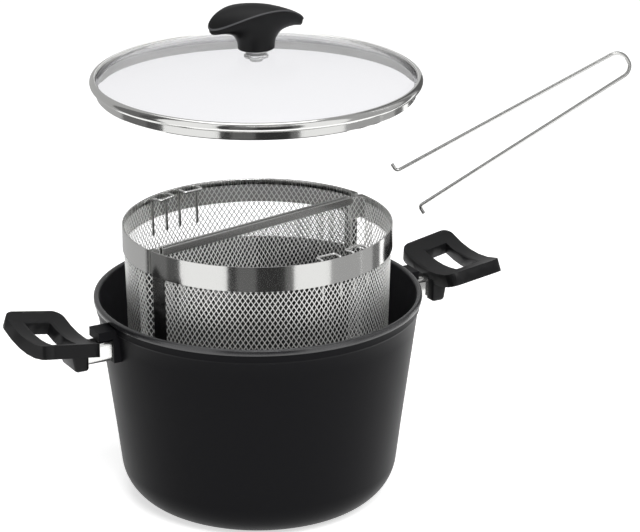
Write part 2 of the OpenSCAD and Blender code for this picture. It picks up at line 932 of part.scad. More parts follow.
pot_body();
induction_disc();
left_boss();
left_flame_guard();
left_handle();
left_handle_screw();
right_boss();
right_flame_guard();
right_handle();
right_handle_screw();
lid_glass();
lid_rim();
lid_knob();
knob_screw();
knob_washer();
seal_above();
seal_below();
front_side() wall_mesh();  // front_wall_mesh
front_side() divider_mesh();  // front_divider_mesh
front_side() floor_mesh();  // front_floor_mesh
front_side() top_band();  // front_top_band
front_side() divider_fold();  // front_divider_fold
front_side() foot_strip();  // front_foot_strip
front_side() corner_strip(-1);  // front_corner_strip_near
front_side() corner_strip(1);  // front_corner_strip_far
front_side() loop(loop_turn - loop_angle);  // front_loop_outer
front_side() loop(loop_turn + loop_angle);  // front_loop_inner
back_side() wall_mesh();  // back_wall_mesh
back_side() divider_mesh();  // back_divider_mesh
back_side() floor_mesh();  // back_floor_mesh
back_side() top_band();  // back_top_band
back_side() divider_fold();  // back_divider_fold
back_side() foot_strip();  // back_foot_strip
back_side() corner_strip(-1);  // back_corner_strip_near
back_side() corner_strip(1);  // back_corner_strip_far
back_side() loop(loop_turn - loop_angle);  // back_loop_outer
back_side() loop(loop_turn + loop_angle);  // back_loop_inner
lifter();
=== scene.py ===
import math

import bpy
from mathutils import Matrix, Vector


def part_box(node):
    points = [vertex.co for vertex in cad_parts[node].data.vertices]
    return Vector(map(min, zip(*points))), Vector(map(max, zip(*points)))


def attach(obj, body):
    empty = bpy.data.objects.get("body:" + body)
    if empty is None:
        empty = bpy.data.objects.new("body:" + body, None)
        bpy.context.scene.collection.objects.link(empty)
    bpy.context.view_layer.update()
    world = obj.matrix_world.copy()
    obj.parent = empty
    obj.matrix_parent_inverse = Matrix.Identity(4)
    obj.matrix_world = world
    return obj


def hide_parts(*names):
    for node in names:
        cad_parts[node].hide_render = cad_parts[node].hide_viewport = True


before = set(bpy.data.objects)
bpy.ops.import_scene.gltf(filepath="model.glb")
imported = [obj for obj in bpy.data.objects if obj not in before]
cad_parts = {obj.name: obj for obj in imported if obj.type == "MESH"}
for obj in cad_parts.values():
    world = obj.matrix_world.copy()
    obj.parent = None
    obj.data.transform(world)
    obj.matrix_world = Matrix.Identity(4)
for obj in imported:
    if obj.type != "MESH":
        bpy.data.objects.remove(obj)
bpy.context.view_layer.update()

MM = 0.001

# Camera, fitted to the outlines of the pot, the lid, the strainers and the handles
camera_azimuth = math.radians(-29)
camera_elevation = math.radians(20.13)
camera_distance = 2.3077
camera_focal_px = 3000
photo_w, photo_h = 640, 532
look_at = Vector((0, 0, 0.1))
look_at_px = (258.6, 368.0)


def add_camera():
    data = bpy.data.cameras.new("photo_camera")
    data.sensor_width = 36
    data.lens = camera_focal_px / photo_w * data.sensor_width
    camera = bpy.data.objects.new("photo_camera", data)
    bpy.context.scene.collection.objects.link(camera)
    bpy.context.scene.camera = camera
    right = Vector((math.cos(camera_azimuth), math.sin(camera_azimuth), 0))
    level = Vector((math.sin(camera_azimuth), -math.cos(camera_azimuth), 0))
    back = level * math.cos(camera_elevation) + Vector((0, 0, math.sin(camera_elevation)))
    up = back.cross(right)
    aside = (look_at_px[0] - photo_w / 2) / camera_focal_px * camera_distance
    above = (photo_h / 2 - look_at_px[1]) / camera_focal_px * camera_distance
    place = look_at + back * camera_distance - right * aside - up * above
    camera.matrix_world = Matrix.Translation(place) @ Matrix((right, up, back)).transposed().to_4x4()


add_camera()
bpy.context.scene.view_settings.view_transform = "Standard"

# Sizes in millimetres, the same as the part's own

# Pot
pot_low, pot_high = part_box("pot_body")
rim_r = pot_high.x / MM
pot_h = pot_high.z / MM
rim_h = 5
shoulder_h = 6
shoulder_out = 1.1
wall_top_r = 122.3
wall_base_r = 106.5
corner_r = 34
wall_t = 2.8
floor_t = 4.2
disc_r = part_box("induction_disc")[1].x / MM
disc_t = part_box("induction_disc")[1].z / MM
under_rim_z = pot_h - rim_h
under_shoulder_z = under_rim_z - shoulder_h
wall_run = (wall_top_r - wall_base_r) / (under_shoulder_z - corner_r)
wall_slope = math.atan(wall_run)
corner_x = wall_base_r - corner_r

# Handles, drawn on the +X side
handle_low, handle_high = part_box("right_handle")
guard_low, guard_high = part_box("right_flame_guard")
plate_x = handle_low.x / MM
plate_len = (handle_high.x - handle_low.x) / MM
plate_w_out = (handle_high.y - handle_low.y) / MM
plate_w_in = 76
plate_t = 10
plate_tilt = math.radians(8)
hollow_r = 108
plate_corner_r = 8
plate_edge_r = 1.1
hole_len = 20
hole_w = 50
hole_in = 15
fix_z = (guard_low.z + guard_high.z) / 2 / MM
socket_w = 26
socket_h = 20
socket_len = 11
plate_z = fix_z + 14
guard_corner_r = 4.3
guard_t = 0.8

# Lid
rim_low, rim_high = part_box("lid_rim")
glass_low, glass_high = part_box("lid_glass")
lid_r = rim_high.x / MM
skirt_h = 6.5
lid_z = rim_low.z / MM + skirt_h
sheet_t = 0.8
bead_h = 7
glass_t = 4
glass_r = glass_high.x / MM
glass_z = glass_low.z / MM
glass_top = glass_high.z / MM
glass_rise = glass_top - glass_z - glass_t
dome_r = (glass_r ** 2 + glass_rise ** 2) / (2 * glass_rise)
glass_cover = 1
glass_over = 1.2
glass_hole_r = 4

# Knob
knob_low, knob_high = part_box("lid_knob")
knob_z = knob_low.z / MM
knob_h = (knob_high.z - knob_low.z) / MM
knob_len = 73
knob_drop = 10.5
knob_turn = math.radians(-10)

# Strainers
band_low, band_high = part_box("front_top_band")
strainer_r = 102.2
strainer_h = 136
strainer_top = band_high.z / MM
strainer_z = strainer_top - strainer_h
band_h = 19
fold_h = 6
strip_t = 0.6
weave_t = 0.7
taper = math.radians(1.5)
divider_gap = 2
divider_turn = math.radians(11)
strainer_corner_r = 7
corner_strip_w = 8
foot_strip_h = 7
foot_r = strainer_r - strainer_h * math.tan(taper)
cell_w = 4.0
cell_h = 6.0
strand_w = 0.62
strand_t = 0.35
loop_wire_d = 2.2
loop_w = 16
loop_reach = 9
prong_len = 30
loop_angle = 8.5
loop_turn = 3

# Lifter
lifter_wire_d = 3
lifter_len = 204
bow_w = 20
tip_w = 35
tip_len = 4
bend_r = 3
lifter_x = 291
lifter_y = 150
lifter_z = 303
lifter_slope = math.radians(32)
lifter_turn = math.radians(-29)

# Clearance between pieces that seat on each other
fit = 0.05


# Modelling

def named(name):
    piece = bpy.context.active_object
    piece.name = name
    piece.data.name = name
    return piece


def apply_place():
    bpy.ops.object.transform_apply(location=True, rotation=True, scale=True)


def pick(piece, kind, test):
    """Selects the vertices, edges or faces that pass the test, and leaves the piece in edit mode."""
    bpy.ops.object.mode_set(mode="EDIT")
    bpy.ops.mesh.select_mode(type={"vertices": "VERT", "edges": "EDGE", "polygons": "FACE"}[kind])
    bpy.ops.mesh.select_all(action="DESELECT")
    bpy.ops.object.mode_set(mode="OBJECT")
    for item in getattr(piece.data, kind):
        item.select = test(item)
    bpy.ops.object.mode_set(mode="EDIT")


def middle(piece, edge):
    a, b = (piece.data.vertices[i].co for i in edge.vertices)
    return (a + b) / 2


def reshape(piece, move):
    """Puts each vertex where move(x, y, z), in millimetres, says."""
    bpy.ops.object.mode_set(mode="OBJECT")
    for vertex in piece.data.vertices:
        vertex.co = Vector(move(*(vertex.co / MM))) * MM
    piece.data.update()


def modify(piece, kind, **settings):
    modifier = piece.modifiers.new(kind.lower(), kind)
    for key, value in settings.items():
        setattr(modifier, key, value)
    bpy.context.view_layer.objects.active = piece
    bpy.ops.object.modifier_apply(modifier=modifier.name)


def clean(piece, outward=True):
    bpy.context.view_layer.objects.active = piece
    bpy.ops.object.mode_set(mode="EDIT")
    bpy.ops.mesh.select_all(action="SELECT")
    bpy.ops.mesh.remove_doubles(threshold=0.002 * MM)
    if outward:
        bpy.ops.mesh.normals_make_consistent(inside=False)
    bpy.ops.object.mode_set(mode="OBJECT")


def smooth(piece, degrees=35):
    bpy.ops.object.select_all(action="DESELECT")
    piece.select_set(True)
    bpy.context.view_layer.objects.active = piece
    bpy.ops.object.shade_smooth_by_angle(angle=math.radians(degrees))


def copied(piece, name, place=None):
    """A copy with its own mesh, turned or moved by the matrix place."""
    twin = piece.copy()
    twin.data = piece.data.copy()
    twin.name = name
    twin.data.name = name
    bpy.context.scene.collection.objects.link(twin)
    if place is not None:
        twin.data.transform(place)
    return twin


def arc(centre, radius, start, end, steps):
    """Points along an arc, from and to angles in degrees."""
    points = []
    for i in range(steps + 1):
        a = math.radians(start + (end - start) * i / steps)
        points.append((centre[0] + radius * math.cos(a), centre[1] + radius * math.sin(a)))
    return points


def chain(name, points):
    """One vertex extruded from point to point."""
    bpy.ops.object.select_all(action="DESELECT")
    bpy.ops.mesh.primitive_plane_add(size=MM)
    piece = named(name)
    bpy.ops.object.mode_set(mode="EDIT")
    bpy.ops.mesh.select_mode(type="VERT")
    bpy.ops.mesh.select_all(action="SELECT")
    bpy.ops.mesh.merge(type="CENTER")
    bpy.ops.transform.translate(value=Vector(points[0]) * MM)
    for a, b in zip(points, points[1:]):
        step = (Vector(b) - Vector(a)) * MM
        bpy.ops.mesh.extrude_vertices_move(TRANSFORM_OT_translate={"value": step})
    return piece


def turned(name, profile, sides=160):
    """A profile of (radius, height) spun round the Z axis."""
    piece = chain(name, [(r, 0, z) for r, z in profile])
    bpy.ops.mesh.select_all(action="SELECT")
    bpy.ops.mesh.spin(steps=sides, angle=2 * math.pi, center=(0, 0, 0), axis=(0, 0, 1))
    bpy.ops.object.mode_set(mode="OBJECT")
    clean(piece)
    return piece


def wire(name, points, diameter, bend, bow_bend=None):
    """Round wire along straight runs with bent corners; bow_bend is for the two in the middle."""
    piece = chain(name, points)
    half = len(points) // 2
    bow = [points[half - 1], points[half]]
    for corners, offset in ((points[1:half - 1] + points[half + 1:-1], bend), (bow, bow_bend or bend)):
        pick(piece, "vertices", lambda v: min((v.co - Vector(c) * MM).length for c in corners) < 0.01 * MM)
        bpy.ops.mesh.bevel(affect="VERTICES", offset=offset * MM, segments=10, offset_type="OFFSET")
        bpy.ops.object.mode_set(mode="OBJECT")
    bpy.ops.object.select_all(action="DESELECT")
    piece.select_set(True)
    bpy.ops.object.convert(target="CURVE")
    piece = bpy.context.active_object
    piece.data.bevel_depth = diameter / 2 * MM
    piece.data.bevel_resolution = 4
    piece.data.use_fill_caps = True
    bpy.ops.object.convert(target="MESH")
    piece = named(name)
    clean(piece)
    smooth(piece, 50)
    return piece


def put(piece, finish, body, *nodes):
    """Gives a piece its finish, makes it ride on a body and stand for its CAD nodes."""
    piece.data.materials.clear()
    piece.data.materials.append(finish)
    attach(piece, body)
    if nodes:
        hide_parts(*nodes)


def finish_nodes(finish, *nodes):
    for name in nodes:
        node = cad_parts[name]
        if not node.material_slots:
            node.data.materials.append(finish)
        for slot in node.material_slots:
            slot.material = finish


# Materials

def colour(code):
    """An sRGB hex colour as linear RGBA."""
    channels = []
    for i in (1, 3, 5):
        c = int(code[i:i + 2], 16) / 255
        channels.append(c / 12.92 if c <= 0.04045 else ((c + 0.055) / 1.055) ** 2.4)
    return (*channels, 1.0)


def add_node(material, kind, settings=None, **links):
    """Adds a shader node; links give the node and output that feed an input."""
    node = material.node_tree.nodes.new(kind)
    for key, value in (settings or {}).items():
        if key in node.inputs:
            node.inputs[key].default_value = value
        else:
            setattr(node, key, value)
    feed(material, node, **links)
    return node


def feed(material, node, **links):
    for key, source in links.items():
        material.node_tree.links.new(source, node.inputs[key.replace("_", " ")])


def surface(name, base, roughness, **sockets):
    """A principled material with its shader and the piece's own coordinates."""
    material = bpy.data.materials.new(name)
    material.use_nodes = True
    shader = material.node_tree.nodes["Principled BSDF"]
    shader.inputs["Base Color"].default_value = colour(base)
    shader.inputs["Roughness"].default_value = roughness
    for key, value in sockets.items():
        shader.inputs[key.replace("_", " ")].default_value = value
    place = add_node(material, "ShaderNodeTexCoord")
    return material, shader, place.outputs["Object"]


def nonstick(name="sprayed_nonstick_on_aluminium", base="#161618", roughness=0.38, level=0.05):
    """PTFE coat sprayed on aluminium: satin black, with an orange-peel surface about 1 mm across."""
    material, shader, place = surface(name, base, roughness, Specular_IOR_Level=level)
    peel = add_node(material, "ShaderNodeTexNoise", {"Scale": 1 / 0.0012, "Detail": 2}, Vector=place)
    cloud = add_node(material, "ShaderNodeTexNoise", {"Scale": 1 / 0.05, "Detail": 3}, Vector=place)
    span = {"To Min": roughness - 0.04, "To Max": roughness + 0.05}
    sheen = add_node(material, "ShaderNodeMapRange", span, Value=cloud.outputs["Fac"])
    bump = add_node(material, "ShaderNodeBump", {"Distance": 0.00006, "Strength": 0.35}, Height=peel.outputs["Fac"])
    feed(material, shader, Roughness=sheen.outputs["Result"], Normal=bump.outputs["Normal"])
    return material


def moulded_phenolic(name="moulded_phenolic_resin", base="#131314", level=0.19):
    """Phenolic resin pressed in a polished mould: black, satin, with faint flow clouds."""
    material, shader, place = surface(name, base, 0.4, Specular_IOR_Level=level)
    grain = add_node(material, "ShaderNodeTexNoise", {"Scale": 1 / 0.0006, "Detail": 3}, Vector=place)
    cloud = add_node(material, "ShaderNodeTexNoise", {"Scale": 1 / 0.03, "Detail": 3}, Vector=place)
    sheen = add_node(material, "ShaderNodeMapRange", {"To Min": 0.34, "To Max": 0.46}, Value=cloud.outputs["Fac"])
    bump = add_node(material, "ShaderNodeBump", {"Distance": 0.00004, "Strength": 0.3}, Height=grain.outputs["Fac"])
    feed(material, shader, Roughness=sheen.outputs["Result"], Normal=bump.outputs["Normal"])
    return material


def polished_steel():
    """Stainless sheet rolled and polished: a mirror with a slight waviness along the strip."""
    material, shader, place = surface("polished_stainless_sheet", "#dadad8", 0.12, Metallic=1.0)
    along = add_node(material, "ShaderNodeMapping", {"Scale": (1, 1, 0.06)}, Vector=place)
    wave = add_node(material, "ShaderNodeTexNoise", {"Scale": 1 / 0.012, "Detail": 1}, Vector=along.outputs["Vector"])
    bump = add_node(material, "ShaderNodeBump", {"Distance": 0.0003, "Strength": 0.2}, Height=wave.outputs["Fac"])
    feed(material, shader, Normal=bump.outputs["Normal"])
    return material


def rolled_steel(name="rolled_stainless_strip", base="#c6c6c4", roughness=0.26, stretch=(1, 1, 0.05)):
    """Plain cold-rolled stainless strip and drawn wire: bright grey with fine drawn lines."""
    material, shader, place = surface(name, base, roughness, Metallic=1.0)
    along = add_node(material, "ShaderNodeMapping", {"Scale": stretch}, Vector=place)
    lines = add_node(material, "ShaderNodeTexNoise", {"Scale": 1 / 0.0008, "Detail": 2}, Vector=along.outputs["Vector"])
    span = {"To Min": roughness - 0.06, "To Max": roughness + 0.08}
    sheen = add_node(material, "ShaderNodeMapRange", span, Value=lines.outputs["Fac"])
    bump = add_node(material, "ShaderNodeBump", {"Distance": 0.00003, "Strength": 0.3}, Height=lines.outputs["Fac"])
    feed(material, shader, Roughness=sheen.outputs["Result"], Normal=bump.outputs["Normal"])
    return material


def expanded_mesh_steel(name="expanded_stainless_mesh", base="#eeeeec", metallic=0.45, painted_shade_below=None):
    """Slit and stretched stainless sheet: each strand is bright where it was sheared and turned.

    If a third colour is given, the colour darkens towards it from 30 to 62 mm below the top: painted shade, for the
    shade lower down inside the strainer.
    """
    material, shader, place = surface(name, base, 0.38, Metallic=metallic)
    # Painted shade: darker lower down inside the strainer
    if painted_shade_below:
        height = add_node(material, "ShaderNodeSeparateXYZ", Vector=place)
        shade_fade = add_node(material, "ShaderNodeMapRange", {"From Min": (strainer_top - 62) * MM,
                        "From Max": (strainer_top - 30) * MM}, Value=height.outputs["Z"])
        ramp = add_node(material, "ShaderNodeValToRGB", Fac=shade_fade.outputs["Result"])
        ramp.color_ramp.elements[0].color = colour(painted_shade_below)
        ramp.color_ramp.elements[1].color = colour(base)
        feed(material, shader, Base_Color=ramp.outputs["Color"])
    strand = add_node(material, "ShaderNodeTexNoise", {"Scale": 1 / 0.002, "Detail": 2}, Vector=place)
    sheen = add_node(material, "ShaderNodeMapRange", {"To Min": 0.26, "To Max": 0.5}, Value=strand.outputs["Fac"])
    bump = add_node(material, "ShaderNodeBump", {"Distance": 0.0004, "Strength": 0.5}, Height=strand.outputs["Fac"])
    feed(material, shader, Roughness=sheen.outputs["Result"], Normal=bump.outputs["Normal"])
    return material


def tempered_glass():
    """Pressed and toughened soda-lime glass: clear, with a faint grey tone and slow ripples."""
    material, shader, place = surface("tempered_soda_lime_glass", "#dedee0", 0.0, Transmission_Weight=1.0, IOR=1.06)
    ripple = add_node(material, "ShaderNodeTexNoise", {"Scale": 1 / 0.06, "Detail": 0}, Vector=place)
    bump = add_node(material, "ShaderNodeBump", {"Distance": 0.0004, "Strength": 0.08}, Height=ripple.outputs["Fac"])
    feed(material, shader, Normal=bump.outputs["Normal"])
    return material


def silicone_rubber():
    """Moulded silicone washer: soft, milky and matt."""
    material, shader, place = surface("moulded_silicone_rubber", "#f0f0ee", 0.6)
    dust = add_node(material, "ShaderNodeTexNoise", {"Scale": 1 / 0.001, "Detail": 3}, Vector=place)
    sheen = add_node(material, "ShaderNodeMapRange", {"To Min": 0.52, "To Max": 0.7}, Value=dust.outputs["Fac"])
    bump = add_node(material, "ShaderNodeBump", {"Distance": 0.00004, "Strength": 0.3}, Height=dust.outputs["Fac"])
    feed(material, shader, Roughness=sheen.outputs["Result"], Normal=bump.outputs["Normal"])
    return material


coating = nonstick()
# Painted light: the inside coat is a lighter grey and more reflective than the outside, to make up for the shade inside
# the pot
inside_coating = nonstick("nonstick_inside_painted_light", "#222224", 0.34, 0.2)
# Partly painted highlight: the rim's coat is glossier, and its lighter grey stands in for the light the rim catches
rim_coating = nonstick("sprayed_nonstick_rim_painted_highlight", "#242426", 0.24, 0.9)
phenolic = moulded_phenolic()
# Painted highlight: a lighter grey phenolic for the ridge round the knob's cap, standing in for the light the ridge
# catches
highlight_phenolic = moulded_phenolic("phenolic_edge_painted_highlight", "#4c4c4e", 0.5)
polished = polished_steel()
strip_steel = rolled_steel()
corner_steel = rolled_steel("bent_stainless_strip", "#b4b4b2", 0.2)
back_steel = rolled_steel("unpolished_strip_back", "#b4b4b2", 0.5)
fold_steel = rolled_steel("folded_stainless_strip", "#b6b6b4", 0.2, (0.04, 0.04, 1))
satin_steel = rolled_steel("satin_stainless_steel", "#fafaf8", 0.6)
wire_steel = rolled_steel("drawn_stainless_wire", "#dededc", 0.26)
lifter_steel = rolled_steel("bent_stainless_wire", "#c6c6c4", 0.22)
screw_steel = rolled_steel("headed_stainless_screw", "#d0d0ce", 0.3)
mesh_steel = expanded_mesh_steel()
# Painted light and shade: a lighter copy of the mesh steel for the faces inside the halves, painted darker lower down
# (#50504e) as shade
lining_steel = expanded_mesh_steel("stainless_mesh_painted_light_and_shade", "#f6f6f4", 0.35, "#50504e")
# Painted shade: a dark copy of the mesh steel for the floor and the divider's back faces
shaded_steel = expanded_mesh_steel("stainless_mesh_painted_shade", "#6a6a68", 1.0)
glass = tempered_glass()
silicone = silicone_rubber()


# Pot

def wall_out(z):
    return wall_base_r + (z - corner_r) * wall_run


def wall_in(z):
    return wall_out(z) - wall_t / math.cos(wall_slope)


def pot_shell():
    lip_r = 1.6
    inner_r = corner_r - wall_t
    slope = math.degrees(wall_slope)
    shoulder_r = wall_out(under_shoulder_z) + shoulder_out
    floor_start = corner_x + math.sqrt(inner_r ** 2 - (corner_r - floor_t) ** 2)
    floor_angle = -math.degrees(math.acos((floor_start - corner_x) / inner_r))
    profile = [(0, disc_t + fit), (disc_r + fit, disc_t + fit), (disc_r + fit, 0.4), (disc_r + 0.5, 0)]
    profile += arc((corner_x, corner_r), corner_r, -90, -slope, 20)
    profile += [(wall_out(z), z) for z in (60, 90, 120, 140, under_shoulder_z - 1.5)]
    profile += arc((shoulder_r - 1, under_shoulder_z + 1), 1, -50, 0, 3)
    profile += [(shoulder_r, under_rim_z - 0.6), (shoulder_r + 0.3, under_rim_z)]
    profile += arc((rim_r - 1, under_rim_z + 1), 1, -90, 0, 4)
    profile += arc((rim_r - lip_r, pot_h - lip_r), lip_r, 0, 90, 6)
    profile += [(wall_in(pot_h) + 1.4, pot_h - 0.1), (wall_in(pot_h) + 0.6, pot_h - 0.5), (wall_in(pot_h - 1.4), pot_h - 1.4)]
    profile += [(wall_in(z), z) for z in (150, 120, 90, 60)]
    profile += arc((corner_x, corner_r), inner_r, -slope, floor_angle, 16)
    profile += [(60, floor_t), (0, floor_t)]
    piece = turned("pot_shell", profile, 192)
    smooth(piece, 30)
    put(piece, coating, "pot", "pot_body")
    piece.data.materials.append(rim_coating)
    piece.data.materials.append(inside_coating)
    # Slot 1, the rim, gets the coat with a painted highlight; slot 2, the inside, gets the coat painted lighter for the
    # shade inside the pot
    for face in piece.data.polygons:
        if face.center.z > (under_rim_z + 0.5) * MM and face.center.xy.length > (wall_in(pot_h) + 0.3) * MM:
            face.material_index = 1
        elif face.normal.xy.dot(face.center.xy) < 0 and face.center.z > disc_t * 2 * MM or face.normal.z > 0.9:
            face.material_index = 2


# Handles

def plate_height(x, y):
    """Top of the handle plate: a hollow that climbs outward."""
    hollow = hollow_r - math.sqrt(hollow_r ** 2 - y ** 2)
    return plate_z + (x - plate_x) * math.tan(plate_tilt) + hollow / math.cos(plate_tilt)


def handle_plate():
    bpy.ops.object.select_all(action="DESELECT")
    bpy.ops.mesh.primitive_plane_add(size=1, location=((plate_x + plate_len / 2) * MM, 0, 0))
    piece = named("handle_plate")
    piece.scale = (plate_len * MM, plate_w_out * MM, 1)
    apply_place()
    pick(piece, "vertices", lambda v: v.co.x < (plate_x + 1) * MM)
    bpy.ops.transform.resize(value=(1, plate_w_in / plate_w_out, 1), center_override=(0, 0, 0))
    bpy.ops.mesh.select_all(action="SELECT")
    bpy.ops.mesh.bevel(affect="VERTICES", offset=plate_corner_r * MM, segments=8)
    pick(piece, "polygons", lambda f: True)
    bpy.ops.mesh.inset(thickness=8 * MM)
    bpy.ops.object.mode_set(mode="OBJECT")
    inner = [v.co for v in piece.data.vertices if v.select]
    low = Vector(map(min, *inner))
    high = Vector(map(max, *inner))
    hole_x = (plate_x + hole_in + hole_len / 2) * MM
    bpy.ops.object.mode_set(mode="EDIT")
    bpy.ops.transform.translate(value=(hole_x - (low.x + high.x) / 2, 0, 0))
    size = high - low
    bpy.ops.transform.resize(value=(hole_len * MM / size.x, hole_w * MM / size.y, 1), center_override=(hole_x, 0, 0))
    bpy.ops.mesh.delete(type="ONLY_FACE")
    bpy.ops.mesh.select_all(action="SELECT")
    bpy.ops.mesh.subdivide(number_cuts=4)
    reshape(piece, lambda x, y, z: (x, y, plate_height(x, y)))
    clean(piece)
    pick(piece, "polygons", lambda f: True)
    bpy.ops.object.mode_set(mode="OBJECT")
    if piece.data.polygons[0].normal.z < 0:
        piece.data.flip_normals()
    modify(piece, "SOLIDIFY", thickness=plate_t * MM, offset=-1, use_even_offset=True)
    modify(piece, "BEVEL", width=plate_edge_r * MM, segments=3, limit_method="ANGLE", angle_limit=math.radians(55))
    return piece


def handle_socket():
    """Block under the plate that takes the flame guard and the screw."""
    bpy.ops.object.select_all(action="DESELECT")
    low = fix_z - socket_h / 2
    high = plate_z - plate_t / 2
    bpy.ops.mesh.primitive_cube_add(size=1, location=((plate_x + socket_len / 2) * MM, 0, (low + high) / 2 * MM))
    piece = named("handle_socket")
    piece.scale = (socket_len * MM, socket_w * MM, (high - low) * MM)
    apply_place()
    pick(piece, "vertices", lambda v: v.co.z > (high - 1) * MM and v.co.x > (plate_x + 1) * MM)
    bpy.ops.transform.translate(value=((hole_in - 0.6 - socket_len) * MM, 0, 0))
    bpy.ops.object.mode_set(mode="OBJECT")
    modify(piece, "BEVEL", width=2.4 * MM, segments=3, limit_method="ANGLE", angle_limit=math.radians(40))
    return piece


def loop_handles():
    plate = handle_plate()
    socket = handle_socket()
    modify(plate, "BOOLEAN", operation="UNION", object=socket, solver="EXACT")
    bpy.data.objects.remove(socket)
    clean(plate)
    smooth(plate, 40)
    other = copied(plate, "left_loop_handle", Matrix.Rotation(math.pi, 4, "Z"))
    plate.name = "right_loop_handle"
    put(plate, phenolic, "pot", "right_handle")
    put(other, phenolic, "pot", "left_handle")


def flame_guards():
    """Polished oval sleeve between the boss and the handle."""
    length = (guard_high.x - guard_low.x) / MM
    bpy.ops.object.select_all(action="DESELECT")
    bpy.ops.mesh.primitive_plane_add(size=1, rotation=(0, math.pi / 2, 0), location=(guard_low.x, 0, fix_z * MM))
    piece = named("right_guard_sleeve")
    piece.scale = (guard_high.z - guard_low.z, guard_high.y - guard_low.y, 1)
    apply_place()
    bpy.ops.object.mode_set(mode="EDIT")
    bpy.ops.mesh.select_all(action="SELECT")
    bpy.ops.mesh.bevel(affect="VERTICES", offset=guard_corner_r * MM, segments=8)
    bpy.ops.mesh.select_all(action="SELECT")
    bpy.ops.mesh.delete(type="ONLY_FACE")
    bpy.ops.mesh.select_all(action="SELECT")
    bpy.ops.mesh.extrude_region_move(TRANSFORM_OT_translate={"value": (length * MM, 0, 0)})
    bpy.ops.object.mode_set(mode="OBJECT")
    clean(piece)
    modify(piece, "SOLIDIFY", thickness=guard_t * MM, offset=-1)
    smooth(piece, 40)
    other = copied(piece, "left_guard_sleeve", Matrix.Rotation(math.pi, 4, "Z"))
    put(piece, polished, "pot", "right_flame_guard")
    put(other, polished, "pot", "left_flame_guard")


# Lid

def dome_height(r, sphere_r):
    return glass_z + glass_rise - dome_r + math.sqrt(sphere_r ** 2 - r ** 2)


def lid_dome():
    outer = dome_r + glass_t
    radii = [glass_r - 0.8, 114, 109, 104, 94, 82, 68, 52, 36, 20, glass_hole_r]
    profile = [(glass_r, glass_z), (glass_r, dome_height(glass_r, outer) - 0.8)]
    profile += [(r, dome_height(r, outer)) for r in radii]
    profile += [(r, dome_height(r, dome_r)) for r in reversed(radii[1:])]
    profile += [(glass_r - 2, glass_z + 0.2), (glass_r, glass_z)]
    piece = turned("lid_dome", profile, 192)
    smooth(piece, 40)
    put(piece, glass, "lid", "lid_glass")


def lid_ring():
    """Rolled steel rim: a half-round bead outside, a lip over the glass and a skirt into the pot."""
    bulge = bead_h / 2
    lip_r = glass_r - glass_cover
    lip_z = dome_height(lip_r, dome_r + glass_t) + fit
    wall_r = glass_r + fit
    edge_z = dome_height(glass_r, dome_r + glass_t) + fit
    skirt_r = glass_r - glass_over
    ledge_r = glass_r - 4
    profile = [(lip_r, lip_z), (lip_r + 0.1, lip_z + sheet_t * 0.7), (lip_r + 0.6, lip_z + sheet_t)]
    profile += arc((lid_r - bulge, lid_z + bulge), bulge, 90, -90, 16)
    profile += [(skirt_r + 0.5, lid_z), (skirt_r, lid_z - 0.5), (skirt_r, lid_z - skirt_h + sheet_t)]
    profile += [(skirt_r - sheet_t, lid_z - skirt_h), (skirt_r - sheet_t, lid_z), (ledge_r, lid_z)]
    profile += [(ledge_r, lid_z + sheet_t), (wall_r, lid_z + sheet_t), (wall_r, edge_z), (lip_r, lip_z)]
    piece = turned("lid_ring", profile, 192)
    smooth(piece, 40)
    put(piece, polished, "lid", "lid_rim")
    line_inside(satin_steel, piece, lean=-0.5)


def knob():
    """A foot that flares into an arched, leaf-shaped cap with a crisp edge."""
    rings = [(0, 13.2, 11.4), (0.7, 13.9, 12), (3, 14, 11.7), (6, 14.6, 11.4), (9, 15.8, 11.3), (11.5, 17.3, 11.4),
             (13.5, 19, 11.6), (15.2, 21.3, 11.8), (16.8, 24, 12.1), (18.6, 27, 12.5), (20.6, 30.2, 13),
             (22.6, 33.2, 13.5), (24.4, 35.2, 13.9), (26, 36, 14.2), (28, 36.3, 14.6), (29.2, 36.5, 14.9),
             (29.4, 37.1, 15.5), (30.1, 37, 15.4), (30.3, 36.3, 14.7), (31.1, 33.6, 13), (31.9, 29, 10.8), (32.6, 23.5, 8.4), (33.2, 17.5, 6), (33.6, 11.5, 3.8), (33.9, 5.5, 1.8),
             (34, 1, 0.3)]
    bpy.ops.object.select_all(action="DESELECT")
    bpy.ops.mesh.primitive_circle_add(vertices=96, radius=MM, fill_type="NGON")
    piece = named("arched_knob")
    bpy.ops.object.mode_set(mode="EDIT")
    bpy.ops.mesh.select_all(action="SELECT")
    bpy.ops.transform.resize(value=(rings[0][1], rings[0][2], 1))
    for (z0, a0, b0), (z1, a1, b1) in zip(rings, rings[1:]):
        bpy.ops.mesh.extrude_region_move(TRANSFORM_OT_translate={"value": (0, 0, (z1 - z0) * MM)})
        bpy.ops.transform.resize(value=(a1 / a0, b1 / b0, 1), center_override=(0, 0, z1 * MM))
    half = knob_len / 2

    def leaf(x, y, z):
        """Narrows the cap towards its tips and lets them hang."""
        share = min(1, max(0, (z - 5) / 20))
        along = min(1, abs(x) / half)
        narrow = 1 - 0.3 * share * along ** 2
        twist = 0.013 * share * x * y
        return (x, y * narrow, z - knob_drop * share * along ** 2 - twist)

    bpy.ops.object.mode_set(mode="OBJECT")
    clean(piece)
    edge = [f.index for f in piece.data.polygons if 29.1 < f.center.z / MM < 30.4]
    reshape(piece, leaf)
    piece.data.transform(Matrix.Diagonal((1, 1, knob_h / rings[-1][0], 1)))
    piece.data.transform(Matrix.Translation((0, 0, knob_z * MM)) @ Matrix.Rotation(knob_turn, 4, "Z"))
    smooth(piece, 32)
    put(piece, phenolic, "lid", "lid_knob")
    # The ridge round the cap's edge gets the painted highlight
    piece.data.materials.append(highlight_phenolic)
    for index in edge:
        piece.data.polygons[index].material_index = 1


# Strainers, drawn with the divider along X and the half on the -Y side

